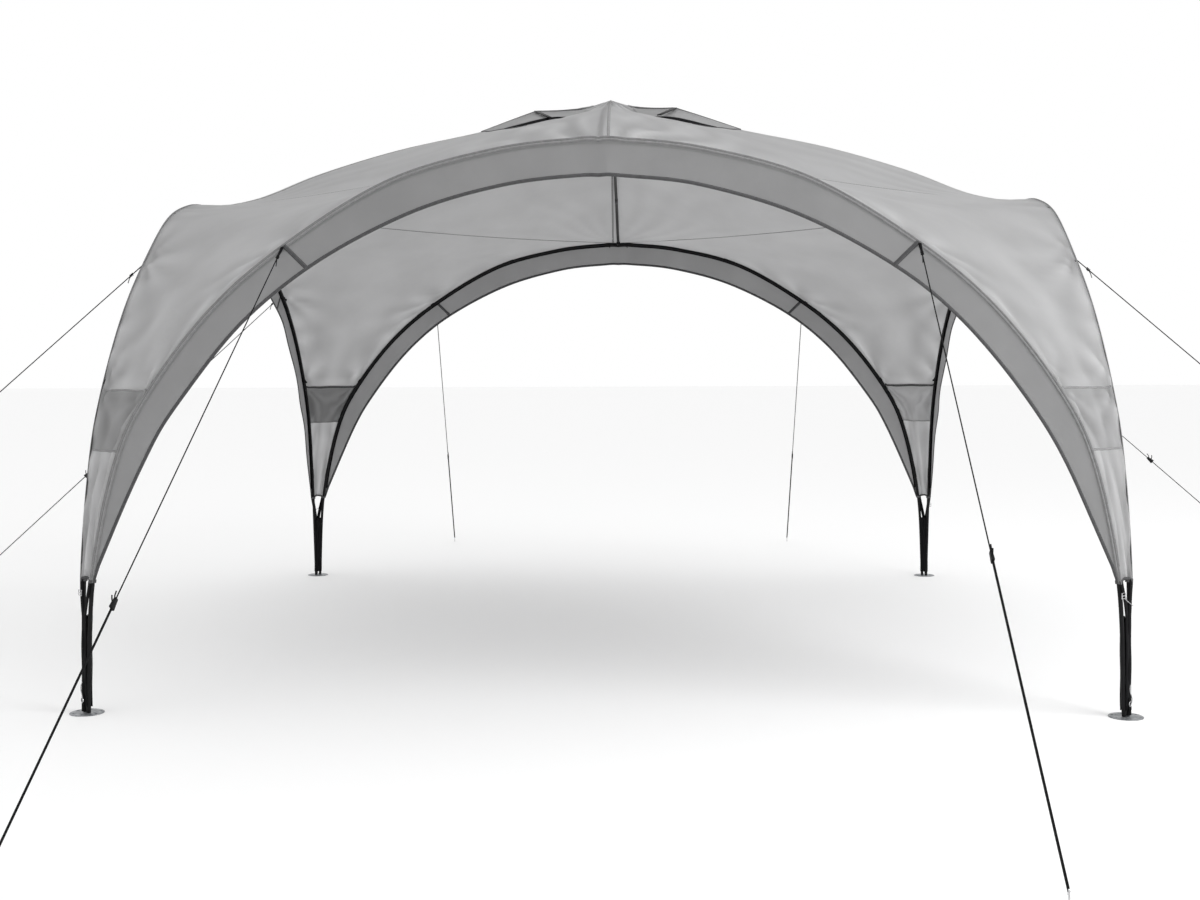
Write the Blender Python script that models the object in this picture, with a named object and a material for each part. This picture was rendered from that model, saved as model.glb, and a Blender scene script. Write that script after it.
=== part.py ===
"""Party tent: four bent side arches, four ridge poles, one crown and a sewn fabric roof on guy lines.

Metres, +Z up. The origin is the middle of the square between the feet, at ground level.
Each side is drawn in its own frame: s runs along the side from its middle, n leans outwards, z goes up.
"""
import math

import bmesh
import bpy
from mathutils import Matrix, Vector

# Plan of the frame
HALF_SIDE = 2.25
POLE_RADIUS = 0.0095
POLE_SIDES = 8
HUB_SIDES = 12
ROPE_SIDES = 6
ROUND_SIDES = 32
SHARP_ANGLE = 35
GAP = 0.0003
LEAST_STEP = 0.02

# Half of one side arch, from its apex to its foot, as (s, n, z) of the tube's middle
ARCH_PROFILE = ((0.0, 0.080, 2.448), (0.095, 0.080, 2.448), (0.44, 0.068, 2.410), (0.89, 0.040, 2.289),
                (1.33, 0.014, 2.035), (1.667, 0.007, 1.757), (1.945, 0.008, 1.406), (2.095, 0.012, 1.100),
                (2.205, 0.018, 0.590), (2.238, 0.012, 0.0045))
ARCH_STEPS = 3
LEG_SEAM_HIGH = 1.406
LEG_SEAM_LOW = 1.139
LEG_HEM = 0.590

# The lower edge of a valance as (s, z), with one point for each of the arch's own down to the hem
VALANCE_EDGE = ((0.0, 2.300), (0.090, 2.299), (0.415, 2.262), (0.82, 2.146), (1.225, 1.938), (1.535, 1.692),
                (1.81, 1.358), (1.975, 1.085), (2.194, 0.596))

# One ridge pole, from the crown to the apex of an arch, as (distance from the crown, z)
RIDGE_PROFILE = ((0.0, 3.000), (0.35, 2.958), (0.80, 2.862), (1.25, 2.768), (1.70, 2.636),
                 (2.05, 2.502), (2.33, 2.448))
RIDGE_STEPS = 2
CROWN_PINCH = 0.035
PINCH_REACH = 0.45
PINCH_SHARES = (0.0, 0.12, 0.28, 0.5, 0.75)

# Hubs and feet
HUB_RADIUS = 0.0115
HUB_HALF_LENGTH = 0.075
HUB_STUB = 0.060
STUB_RADIUS = 0.0113
HUB_LEAD = 0.020
LEVEL_END = 0.090
CROWN_HUB_RADIUS = 0.030
CROWN_HUB_DEPTH = 0.036
CROWN_HUB_DROP = 0.004
FOOT_RADIUS = 0.0735
FOOT_THICKNESS = 0.004

# Fabric
CLOTH = 0.003
SEAT = 0.0006
HUB_CLEAR = HUB_RADIUS + SEAT
POLE_CLEAR = POLE_RADIUS + SEAT
SEAM_START = HUB_CLEAR
CROWN_SAG = 0.016
ACROSS = 6
EDGE_LIFT = 7.0

# How far the corner cloth pulls in at the middle of its width, as (s, share of that width)
CORNER_SAG = ((0.0, 0.0113), (0.20, 0.026), (0.44, 0.039), (0.89, 0.042), (1.33, 0.035), (1.667, 0.030),
              (1.945, 0.019), (2.205, 0.015))

# Roof vents
VENT_INNER = 0.10
VENT_PEAK = {"left": 0.43, "right": 0.37}
VENT_OUTER = 0.75
VENT_BACK = 0.20
VENT_FRONT = 0.12
VENT_RISE = 0.046
VENT_SLIT = 0.012
VENT_LIFT = 0.0016
VENT_SPANS = 8
VENT_TAPER = 0.06
STRUT_LEAN = 0.08
STRUT_FOOT_Y = -0.20
STRUT_HEAD_Y = -0.02
STRUT_RADIUS = 0.004
STRUT_OVER = 0.0514

# Leg straps and guy lines
STRAP_WIDTH = 0.025
STRAP_THICKNESS = 0.003
STRAP_BOW = 0.008
STRAP_FOOT = 0.014
STRAP_LAP = 0.025
STRAP_SLOPE = 1.04
STRAP_STEPS = 5
GUY_S = 1.353
GUY_REACH = 4.494
GUY_ROPE = 0.0025
GUY_TAB = 0.006
GUY_SLIDER = 0.009
GUY_TAB_LENGTH = 0.085
GUY_SLIDER_LENGTH = 0.048
GUY_STEP = 0.002
PEG_RADIUS = 0.006
PEG_HEIGHT = 0.035

# Where each guy line of a side meets the ground (s), and how far down it its slider sits
GUY_ANCHORS = {
    "front": ((-1.68, 0.65), (1.36, 0.58)),
    "right": ((-1.72, 0.60), (1.04, 0.55)),
    "back": ((-1.46, 0.60), (1.52, 0.60)),
    "left": ((-1.34, 0.60), (1.60, 0.60)),
}
SIDES = ("front", "right", "back", "left")
CORNERS = ("front_right", "back_right", "back_left", "front_left")

STEEL = ("black_steel", (0.030, 0.031, 0.033), 0.42, 0.6)
ZINC = ("zinc_plate", (0.62, 0.63, 0.64), 0.40, 0.9)
PLASTIC = ("black_plastic", (0.020, 0.020, 0.021), 0.50, 0.0)
ROOF_CLOTH = ("roof_cloth", (0.43, 0.44, 0.45), 0.80, 0.0)
VALANCE_CLOTH = ("valance_cloth", (0.33, 0.34, 0.35), 0.80, 0.0)
WEBBING = ("black_webbing", (0.035, 0.035, 0.037), 0.85, 0.0)
ROPE = ("dark_rope", (0.060, 0.060, 0.062), 0.80, 0.0)


def smooth_curve(points, steps):
    """Points of a smooth curve through the given ones, with some steps between each two."""
    count = len(points)
    result = []
    for i in range(count - 1):
        p1 = Vector(points[i])
        p2 = Vector(points[i + 1])
        p0 = Vector(points[i - 1]) if i else p1 * 2 - p2
        p3 = Vector(points[i + 2]) if i + 2 < count else p2 * 2 - p1
        for step in range(steps):
            t = step / steps
            a = p1 * 2
            b = (p2 - p0) * t
            c = (p0 * 2 - p1 * 5 + p2 * 4 - p3) * t * t
            d = (p1 * 3 - p0 - p2 * 3 + p3) * t ** 3
            result.append((a + b + c + d) / 2)
    result.append(Vector(points[-1]))
    return result


def value_at(points, x):
    """Value of an (x, value) polyline at x."""
    if x <= points[0][0]:
        return points[0][1]
    for left, right in zip(points, points[1:]):
        if x <= right[0]:
            return left[1] + (right[1] - left[1]) * (x - left[0]) / (right[0] - left[0])
    return points[-1][1]


ARCH_POINTS = smooth_curve(ARCH_PROFILE, ARCH_STEPS)
ARCH = [(p.x, p.z) for p in ARCH_POINTS]
EDGE = [(p.x, p.y) for p in smooth_curve(VALANCE_EDGE, ARCH_STEPS)]
RIDGE = [(p.x, p.y) for p in smooth_curve(RIDGE_PROFILE, RIDGE_STEPS)]


def lean_at(z):
    """How far outside the side's line the arch stands at a height."""
    return value_at([(-p.z, p.y) for p in ARCH_POINTS], -z)


def on_side(side, s, n, z):
    """World position of a point given in the frame of one side."""
    return Matrix.Rotation(side * math.pi / 2, 3, "Z") @ Vector((s, -(HALF_SIDE + n), z))


def corner_outward(corner):
    """The level direction from the middle of the tent to one of its corners."""
    return on_side(corner, 1, 1 - HALF_SIDE, 0).normalized()


def arch_s_at(z):
    """How far along the side the arch stands at a height."""
    return value_at([(-height, s) for s, height in ARCH], -z)


def roof_z(x, y):
    """Height of the ridge poles' level at a place under the crown cloth."""
    return value_at(RIDGE, abs(x) + abs(y))


def material(spec):
    name, colour, roughness, metallic = spec
    made = bpy.data.materials.get(name)
    if made:
        return made
    made = bpy.data.materials.new(name)
    made.use_nodes = True
    shader = made.node_tree.nodes["Principled BSDF"]
    shader.inputs["Base Color"].default_value = (*colour, 1.0)
    shader.inputs["Roughness"].default_value = roughness
    shader.inputs["Metallic"].default_value = metallic
    made.diffuse_color = (*colour, 1.0)
    return made


def add_object(name, mesh_builder, spec):
    """Put a bmesh in the scene as a named object with its own material."""
    bmesh.ops.recalc_face_normals(mesh_builder, faces=mesh_builder.faces)
    mesh = bpy.data.meshes.new(name)
    mesh_builder.to_mesh(mesh)
    mesh_builder.free()
    mesh.shade_smooth()
    mesh.set_sharp_from_angle(angle=math.radians(SHARP_ANGLE))
    mesh.materials.append(material(spec))
    made = bpy.data.objects.new(name, mesh)
    bpy.context.scene.collection.objects.link(made)
    return made


def swept(points, radii, sides, reference=Vector((0, 0, 1))):
    """A closed bar along a path, with its own radius at each point."""
    bm = bmesh.new()
    rings = []
    for i, point in enumerate(points):
        before = points[max(i - 1, 0)]
        after = points[min(i + 1, len(points) - 1)]
        along = (after - before).normalized()
        across = along.cross(reference).normalized()
        over = across.cross(along)
        ring = []
        for k in range(sides):
            angle = math.tau * (k + 0.5) / sides
            offset = across * math.cos(angle) + over * math.sin(angle)
            ring.append(bm.verts.new(point + offset * radii[i]))
        rings.append(ring)
    for low, high in zip(rings, rings[1:]):
        for k in range(sides):
            bm.faces.new((low[k], low[(k + 1) % sides], high[(k + 1) % sides], high[k]))
    bm.faces.new(rings[0])
    bm.faces.new(rings[-1])
    return bm


def sheet(inner, outer):
    """A closed sheet between two grids of points of the same size."""
    bm = bmesh.new()
    rows = len(inner)
    columns = len(inner[0])
    low = [[bm.verts.new(p) for p in row] for row in inner]
    high = [[bm.verts.new(p) for p in row] for row in outer]
    for grid in (low, high):
        for i in range(rows - 1):
            for j in range(columns - 1):
                bm.faces.new((grid[i][j], grid[i + 1][j], grid[i + 1][j + 1], grid[i][j + 1]))
    rim = [(0, j) for j in range(columns)]
    rim += [(i, columns - 1) for i in range(1, rows)]
    rim += [(rows - 1, j) for j in range(columns - 2, -1, -1)]
    rim += [(i, 0) for i in range(rows - 2, 0, -1)]
    for (i, j), (k, m) in zip(rim, rim[1:] + rim[:1]):
        bm.faces.new((low[i][j], low[k][m], high[k][m], high[i][j]))
    return bm


def foot_plate(corner):
    """A round zinc plate that lies flat under the two tubes of one corner."""
    bm = bmesh.new()
    middle = on_side(corner, HALF_SIDE, 0.0, FOOT_THICKNESS / 2)
    bmesh.ops.create_cone(bm, cap_ends=True, segments=ROUND_SIDES, radius1=FOOT_RADIUS, radius2=FOOT_RADIUS,
                          depth=FOOT_THICKNESS, matrix=Matrix.Translation(middle))
    return add_object(f"foot_plate_{CORNERS[corner]}", bm, ZINC)


def arch_pole(side, direction):
    """One half of a side arch: the bent tube from the apex hub down to its foot."""
    corner = side if direction > 0 else (side - 1) % 4
    start = HUB_HALF_LENGTH + GAP
    top = ARCH[0][1]
    path = [on_side(side, direction * s, lean_at(top), top) for s in (start, start + HUB_LEAD)]
    path += [on_side(side, direction * s, lean_at(z), z) for s, z in ARCH if s > start + HUB_LEAD]
    bm = swept(path, [POLE_RADIUS] * len(path), POLE_SIDES, reference=on_side(side, 0, 0, 0).normalized())
    for vert in bm.verts:
        if vert.co.z < LEAST_STEP:
            vert.co.z = FOOT_THICKNESS + GAP
    return add_object(f"arch_pole_{SIDES[side]}_at_{CORNERS[corner]}", bm, STEEL)


def apex_hub(side):
    """The tee that joins both halves of an arch and carries the foot of a ridge pole."""
    z = ARCH[0][1]
    middle = on_side(side, 0, lean_at(z), z)
    along = on_side(side, 1, 0, 0) - on_side(side, 0, 0, 0)
    inward = on_side(side, 0, lean_at(z) - HUB_STUB, value_at(RIDGE, ridge_foot() - HUB_STUB))
    ends = [middle - along * HUB_HALF_LENGTH, middle + along * HUB_HALF_LENGTH]
    cross = add_object(f"apex_hub_{SIDES[side]}", swept(ends, [HUB_RADIUS] * 2, HUB_SIDES), PLASTIC)
    bar = swept([middle, inward], [STUB_RADIUS] * 2, HUB_SIDES)
    stub = add_object(f"apex_hub_stub_{SIDES[side]}", bar, PLASTIC)
    stub.hide_render = True
    stub.display_type = "WIRE"
    union = cross.modifiers.new("tee", "BOOLEAN")
    union.operation = "UNION"
    union.solver = "EXACT"
    union.object = stub
    return cross


def ridge_foot():
    return HALF_SIDE + lean_at(ARCH[0][1])


def ridge_pole(side):
    """The bent tube under the roof from an apex hub to the crown."""
    first = CROWN_HUB_RADIUS + 2 * SEAT
    last = ridge_foot() - HUB_STUB - 2 * GAP
    stations = [first] + [r for r, z in RIDGE if first + LEAST_STEP < r < last - LEAST_STEP] + [last]
    path = [on_side(side, 0, r - HALF_SIDE, value_at(RIDGE, r)) for r in stations]
    bm = swept(path, [POLE_RADIUS] * len(path), POLE_SIDES)
    return add_object(f"ridge_pole_{SIDES[side]}", bm, STEEL)


def crown_hub():
    """The round boss at the crown that the four ridge poles plug into."""
    bm = bmesh.new()
    middle = Vector((0, 0, RIDGE[0][1] - CROWN_HUB_DROP))
    bmesh.ops.create_cone(bm, cap_ends=True, segments=ROUND_SIDES, radius1=CROWN_HUB_RADIUS,
                          radius2=CROWN_HUB_RADIUS, depth=CROWN_HUB_DEPTH, matrix=Matrix.Translation(middle))
    return add_object("crown_hub", bm, PLASTIC)


def crown_height(x, y):
    """Underside of the crown cloth: the ridge level, the pinch at the middle and the sag between ridges."""
    reach = abs(x) + abs(y)
    pinch = CROWN_PINCH * max(0.0, 1.0 - reach / PINCH_REACH) ** 2
    share = abs(x) / reach if reach else 0.0
    sag = CROWN_SAG * reach * 4 * share * (1 - share)
    return roof_z(x, y) + HUB_CLEAR + pinch - sag


def roof_crown():
    """The diamond of four sewn gores between the crown and the four apex hubs."""
    reaches = [PINCH_REACH * share for share in PINCH_SHARES]
    reaches += [r for r, z in RIDGE if PINCH_REACH < r < ridge_foot() - LEAST_STEP]
    reaches += [ridge_foot(), ridge_foot() + SEAM_START - GAP]
    bm = bmesh.new()
    layers = []
    for lift in (0.0, CLOTH):
        rings = [[bm.verts.new((0, 0, crown_height(0, 0) + lift))]]
        for reach in reaches[1:]:
            ring = []
            for quarter in range(4):
                for step in range(ACROSS):
                    t = step / ACROSS
                    spot = Matrix.Rotation(quarter * math.pi / 2, 2) @ Vector((t * reach, -(1 - t) * reach))
                    ring.append(bm.verts.new((spot.x, spot.y, crown_height(spot.x, spot.y) + lift)))
            rings.append(ring)
        layers.append(rings)
    for rings in layers:
        count = len(rings[1])
        for k in range(count):
            bm.faces.new((rings[0][0], rings[1][k], rings[1][(k + 1) % count]))
        for low, high in zip(rings[1:], rings[2:]):
            for k in range(count):
                bm.faces.new((low[k], low[(k + 1) % count], high[(k + 1) % count], high[k]))
    below, above = layers[0][-1], layers[1][-1]
    for k in range(len(below)):
        m = (k + 1) % len(below)
        bm.faces.new((below[k], below[m], above[m], above[k]))
    return add_object("roof_crown", bm, ROOF_CLOTH)


def cloth_facing(above, below):
    """Outward direction of the corner cloth on the arch between two stations, as parts along s, n and z."""
    run = (below[0] + lean_at(below[1]) - above[0] - lean_at(above[1])) / math.sqrt(2)
    fall = above[1] - below[1]
    level = fall / math.hypot(run, fall) / math.sqrt(2)
    return Vector((level, level, run / math.hypot(run, fall)))


def station_facing(stations, i):
    """Outward direction at one station; the level stretch at the apex looks straight up."""
    if stations[i][0] <= HUB_HALF_LENGTH + HUB_LEAD + SEAT:
        return Vector((0, 0, 1))
    return cloth_facing(stations[max(i - 1, 0)], stations[min(i + 1, len(stations) - 1)])


def station_clear(station):
    """How far the cloth stands off the middle of the tube: more on the hub than on the tube."""
    return HUB_CLEAR if station[0] <= HUB_HALF_LENGTH + HUB_LEAD + SEAT else POLE_CLEAR


def corner_cloth(name, corner, stations, spec):
    """A sheet stretched between the two arches of a corner, from side to side at each height."""
    inner = []
    outer = []
    for i, (s, z) in enumerate(stations):
        facing = station_facing(stations, i)
        clear = station_clear(stations[i])
        normal = corner_outward(corner) * facing.x * math.sqrt(2) + Vector((0, 0, facing.z))
        a = on_side(corner, s, lean_at(z), z)
        b = on_side(corner + 1, -s, lean_at(z), z)
        share = value_at(CORNER_SAG, s)
        past = (HUB_CLEAR - GAP - facing.y * (clear + CLOTH)) * math.sqrt(2)
        past /= 1 + EDGE_LIFT * share * facing.y
        width = (b - a).length
        sag = share * width
        row = []
        for j in range(ACROSS + 1):
            t = (j / ACROSS * (width + 2 * past) - past) / width
            row.append(a.lerp(b, t) + normal * (clear - sag * 4 * t * (1 - t)))
        inner.append(row)
        outer.append([point + normal * CLOTH for point in row])
    return add_object(name, sheet(inner, outer), spec)


def arch_stations(top, bottom):
    """Stations (s, z) of the arch between two heights."""
    between = [(s, z) for s, z in ARCH if bottom + LEAST_STEP < z < top - LEAST_STEP]
    return [(arch_s_at(top), top)] + between + [(arch_s_at(bottom), bottom)]


def roof_corner(corner):
    """The curved roof panel from the straight crown seam down to the seam above the leg."""
    stations = [(SEAM_START, ARCH[0][1])]
    stations += [(s, z) for s, z in ARCH if s > LEVEL_END and z > LEG_SEAM_HIGH + LEAST_STEP]
    stations.append((arch_s_at(LEG_SEAM_HIGH), LEG_SEAM_HIGH))
    return corner_cloth(f"roof_corner_{CORNERS[corner]}", corner, stations, ROOF_CLOTH)


def leg_pocket(corner):
    """The doubled panel between the two tubes of a leg."""
    stations = arch_stations(LEG_SEAM_HIGH - 2 * GAP, LEG_SEAM_LOW)
    return corner_cloth(f"leg_pocket_{CORNERS[corner]}", corner, stations, VALANCE_CLOTH)


def leg_skirt(corner):
    """The last narrow panel of a leg, down to its hem."""
    stations = arch_stations(LEG_SEAM_LOW - 2 * GAP, LEG_HEM)
    return corner_cloth(f"leg_skirt_{CORNERS[corner]}", corner, stations, ROOF_CLOTH)


def valance(side):
    """The curved strip of cloth sewn to the roof's edge outside one arch, hanging below its tubes."""
    pairs = [(arch, edge) for arch, edge in zip(ARCH, EDGE)
             if arch[0] > LEVEL_END and arch[1] > LEG_HEM + LEAST_STEP]
    pairs = [(ARCH[0], EDGE[0])] + pairs + [((arch_s_at(LEG_HEM), LEG_HEM), EDGE[-1])]
    half = [arch for arch, edge in pairs]
    rows = []
    for i, ((s, z), low) in enumerate(pairs):
        facing = station_facing(half, i) * (station_clear(half[i]) + CLOTH)
        middle = ((s + low[0]) / 2, (z + low[1]) / 2)
        rows.append((lean_at(z), [(s + facing.x, z + facing.z), (s, z), middle, low]))
    rows = [(n, [(-s, z) for s, z in row]) for n, row in reversed(rows[1:])] + rows
    inner = [[on_side(side, s, n + HUB_CLEAR, z) for s, z in row] for n, row in rows]
    outer = [[on_side(side, s, n + HUB_CLEAR + CLOTH, z) for s, z in row] for n, row in rows]
    return add_object(f"valance_{SIDES[side]}", sheet(inner, outer), VALANCE_CLOTH)


def vent_hood(hand):
    """A raised fold of cloth over a roof vent, propped open towards the front."""
    direction = 1 if hand == "right" else -1
    peak = (VENT_PEAK[hand] - VENT_INNER) / (VENT_OUTER - VENT_INNER)
    inner = []
    outer = []
    for i in range(VENT_SPANS + 1):
        t = i / VENT_SPANS
        x = direction * (VENT_INNER + (VENT_OUTER - VENT_INNER) * t)
        rise = VENT_RISE * min(t / peak, (1 - t) / (1 - peak))
        spread = math.sin(math.pi * min(max(t, VENT_TAPER), 1 - VENT_TAPER))
        fold = ((VENT_BACK * spread, 0.0), (0.0, rise), (-VENT_FRONT * spread, VENT_SLIT * spread))
        row = [Vector((x, y, crown_height(x, y) + CLOTH + lift + VENT_LIFT)) for y, lift in fold]
        inner.append(row)
        outer.append([point + Vector((0, 0, CLOTH)) for point in row])
    return add_object(f"vent_hood_{hand}", sheet(inner, outer), ROOF_CLOTH)


def vent_strut(hand):
    """The stiff prop that holds the front fold of a vent hood up."""
    direction = 1 if hand == "right" else -1
    peak = VENT_PEAK[hand]
    foot_z = crown_height(peak - STRUT_LEAN, STRUT_FOOT_Y) + CLOTH + STRUT_RADIUS + 2 * SEAT
    foot = Vector((direction * (peak - STRUT_LEAN), STRUT_FOOT_Y, foot_z))
    head = Vector((direction * peak, STRUT_HEAD_Y, crown_height(peak, STRUT_HEAD_Y) + CLOTH + STRUT_OVER))
    return add_object(f"vent_strut_{hand}", swept([foot, head], [STRUT_RADIUS] * 2, POLE_SIDES), PLASTIC)


def leg_middle(corner, z):
    """The point midway between the two tubes of a leg at a height."""
    s = arch_s_at(z)
    return on_side(corner, s, lean_at(z), z).lerp(on_side(corner + 1, -s, lean_at(z), z), 0.5)


def leg_strap(corner):
    """The webbing strap from the hem of a leg down to its foot plate, bowed outwards."""
    outward = corner_outward(corner)
    across = outward.cross(Vector((0, 0, 1)))
    at_hem = (POLE_CLEAR + CLOTH) * STRAP_SLOPE + GAP
    foot = FOOT_THICKNESS + GAP
    heights = [LEG_HEM + STRAP_LAP, LEG_HEM]
    heights += [foot + (LEG_HEM - foot) * (1 - step / STRAP_STEPS) for step in range(1, STRAP_STEPS + 1)]
    inner = []
    outer = []
    for z in heights:
        t = min(1.0, (z - foot) / (LEG_HEM - foot))
        out = STRAP_FOOT + (at_hem - STRAP_FOOT) * t + STRAP_BOW * math.sin(math.pi * t)
        middle = leg_middle(corner, z) + outward * out
        row = [middle + across * w for w in (-STRAP_WIDTH / 2, STRAP_WIDTH / 2)]
        inner.append(row)
        outer.append([point + outward * STRAP_THICKNESS for point in row])
    return add_object(f"leg_strap_{CORNERS[corner]}", sheet(inner, outer), WEBBING)


def guy_line(side, index):
    """A guy line with its webbing tab, slider and peg head, straight from the arch to the ground."""
    direction = (-1, 1)[index]
    anchor, slider_share = GUY_ANCHORS[SIDES[side]][index]
    z = value_at(ARCH, GUY_S)
    end = on_side(side, anchor, GUY_REACH - HALF_SIDE, PEG_HEIGHT)
    face = on_side(side, direction * GUY_S, lean_at(z) + HUB_CLEAR + CLOTH + GAP, z)
    outward = on_side(side, 0, 1 - HALF_SIDE, 0)
    slant = (end - face).normalized().dot(outward)
    top = face + outward * GUY_TAB * math.sqrt(1 - slant * slant)
    line = end - top
    length = line.length
    slider = slider_share * length
    marks = ((0.0, GUY_TAB), (GUY_TAB_LENGTH, GUY_TAB), (GUY_TAB_LENGTH + GUY_STEP, GUY_ROPE),
             (slider, GUY_ROPE), (slider + GUY_STEP, GUY_SLIDER), (slider + GUY_SLIDER_LENGTH, GUY_SLIDER),
             (slider + GUY_SLIDER_LENGTH + GUY_STEP, GUY_ROPE), (length, GUY_ROPE))
    path = [top + line * (distance / length) for distance, radius in marks]
    radii = [radius for distance, radius in marks]
    path.append(end + line.normalized() * GUY_STEP - Vector((0, 0, PEG_RADIUS)))
    path.append(Vector((path[-1].x, path[-1].y, 0.0)))
    radii += [PEG_RADIUS, PEG_RADIUS]
    bm = swept(path, radii, ROPE_SIDES)
    for vert in bm.verts:
        vert.co.z = max(vert.co.z, 0.0)
    corner = side if direction > 0 else (side - 1) % 4
    return add_object(f"guy_line_{SIDES[side]}_at_{CORNERS[corner]}", bm, ROPE)


for old in list(bpy.data.objects):
    bpy.data.objects.remove(old)

crown_hub()
roof_crown()
for place in range(4):
    foot_plate(place)
    apex_hub(place)
    ridge_pole(place)
    roof_corner(place)
    leg_pocket(place)
    leg_skirt(place)
    valance(place)
    leg_strap(place)
    for half in (-1, 1):
        arch_pole(place, half)
    for which in (0, 1):
        guy_line(place, which)
for hand_name in VENT_PEAK:
    vent_hood(hand_name)
    vent_strut(hand_name)
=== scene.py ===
import math
import bmesh
import bpy
from mathutils import Matrix, Vector, noise


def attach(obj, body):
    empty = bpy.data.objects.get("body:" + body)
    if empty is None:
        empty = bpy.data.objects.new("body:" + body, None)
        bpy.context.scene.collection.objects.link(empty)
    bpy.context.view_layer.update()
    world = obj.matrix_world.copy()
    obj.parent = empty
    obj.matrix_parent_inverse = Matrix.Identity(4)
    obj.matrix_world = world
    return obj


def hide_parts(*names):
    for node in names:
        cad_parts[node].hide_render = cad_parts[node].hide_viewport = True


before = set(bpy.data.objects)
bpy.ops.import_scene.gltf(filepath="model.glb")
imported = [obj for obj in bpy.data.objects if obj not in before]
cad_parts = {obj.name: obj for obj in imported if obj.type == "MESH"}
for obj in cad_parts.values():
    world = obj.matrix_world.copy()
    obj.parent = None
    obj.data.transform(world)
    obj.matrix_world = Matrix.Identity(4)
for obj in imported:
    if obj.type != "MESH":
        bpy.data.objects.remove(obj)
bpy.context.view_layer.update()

# The studio: a pale floor under an even white sky, with one broad soft lamp from the upper right.
# The camera stands 6.2 m in front of the tent at a standing person's chest, as the picture was taken.
view = bpy.data.cameras.new("view")
view.sensor_width = 36.0
view.lens = 43.53
camera = bpy.data.objects.new("camera", view)
PITCH, YAW, ROLL = math.radians(-2.7666), math.radians(1.7814), math.radians(-0.1932)
look = Vector((-math.sin(YAW) * math.cos(PITCH), math.cos(YAW) * math.cos(PITCH), math.sin(PITCH)))
level = Vector((math.cos(YAW), math.sin(YAW), 0))
upright = level.cross(look)
side_axis = level * math.cos(ROLL) + upright * math.sin(ROLL)
up_axis = upright * math.cos(ROLL) - level * math.sin(ROLL)
camera.matrix_world = Matrix((side_axis, up_axis, -look)).transposed().to_4x4()
camera.location = (0.1943, -8.4679, 1.4489)
bpy.context.scene.collection.objects.link(camera)
bpy.context.scene.camera = camera
bpy.context.scene.view_settings.view_transform = "Standard"

world = bpy.data.worlds.new("studio")
world.use_nodes = True
world.node_tree.nodes["Background"].inputs["Color"].default_value = (1.0, 1.0, 1.0, 1.0)
world.node_tree.nodes["Background"].inputs["Strength"].default_value = 1.0
bpy.context.scene.world = world
lamp = bpy.data.lights.new("soft_lamp", "AREA")
lamp.shape = "DISK"
lamp.size = 6.0
lamp.energy = 380.0
lamp_object = bpy.data.objects.new("soft_lamp", lamp)
lamp_object.location = (7.0, -5.5, 5.0)
lamp_object.rotation_euler = (lamp_object.location - Vector((0, 0, 1.5))).to_track_quat("Z", "Y").to_euler()
bpy.context.scene.collection.objects.link(lamp_object)

floor_mesh = bmesh.new()
bmesh.ops.create_grid(floor_mesh, x_segments=1, y_segments=1, size=300)
floor_data = bpy.data.meshes.new("floor")
floor_mesh.to_mesh(floor_data)
floor_mesh.free()
floor = bpy.data.objects.new("floor", floor_data)
pale = bpy.data.materials.new("pale_floor")
pale.use_nodes = True
pale.node_tree.nodes["Principled BSDF"].inputs["Base Color"].default_value = (0.94, 0.94, 0.94, 1.0)
pale.node_tree.nodes["Principled BSDF"].inputs["Roughness"].default_value = 0.9
floor_data.materials.append(pale)
bpy.context.scene.collection.objects.link(floor)

# Foot plates: round pressed plates of zinc-plated steel, 147 mm across and 4 mm thick.
# Each has a turned-down rim and six peg holes near it.
SIDES = ("front", "right", "back", "left")
CORNERS = ("front_right", "back_right", "back_left", "front_left")
HALF_SIDE = 2.25
FOOT_RADIUS = 0.0735
FOOT_THICKNESS = 0.004
FOOT_HOLES = 6
FOOT_HOLE_RADIUS = 0.0065
FOOT_HOLE_PLACE = 0.058
ZINC = (0.36, 0.37, 0.38, 1.0)


def on_side(side, s, n, z):
    """A point given along one side, outwards from it and upwards."""
    return Matrix.Rotation(side * math.pi / 2, 3, "Z") @ Vector((s, -(HALF_SIDE + n), z))


def add_node(tree, kind, **values):
    """A shader node, with its own settings and its inputs' values by name."""
    made = tree.nodes.new(kind)
    for key, value in values.items():
        if hasattr(made, key):
            setattr(made, key, value)
        else:
            made.inputs[key.replace("_", " ")].default_value = value
    return made


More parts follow.
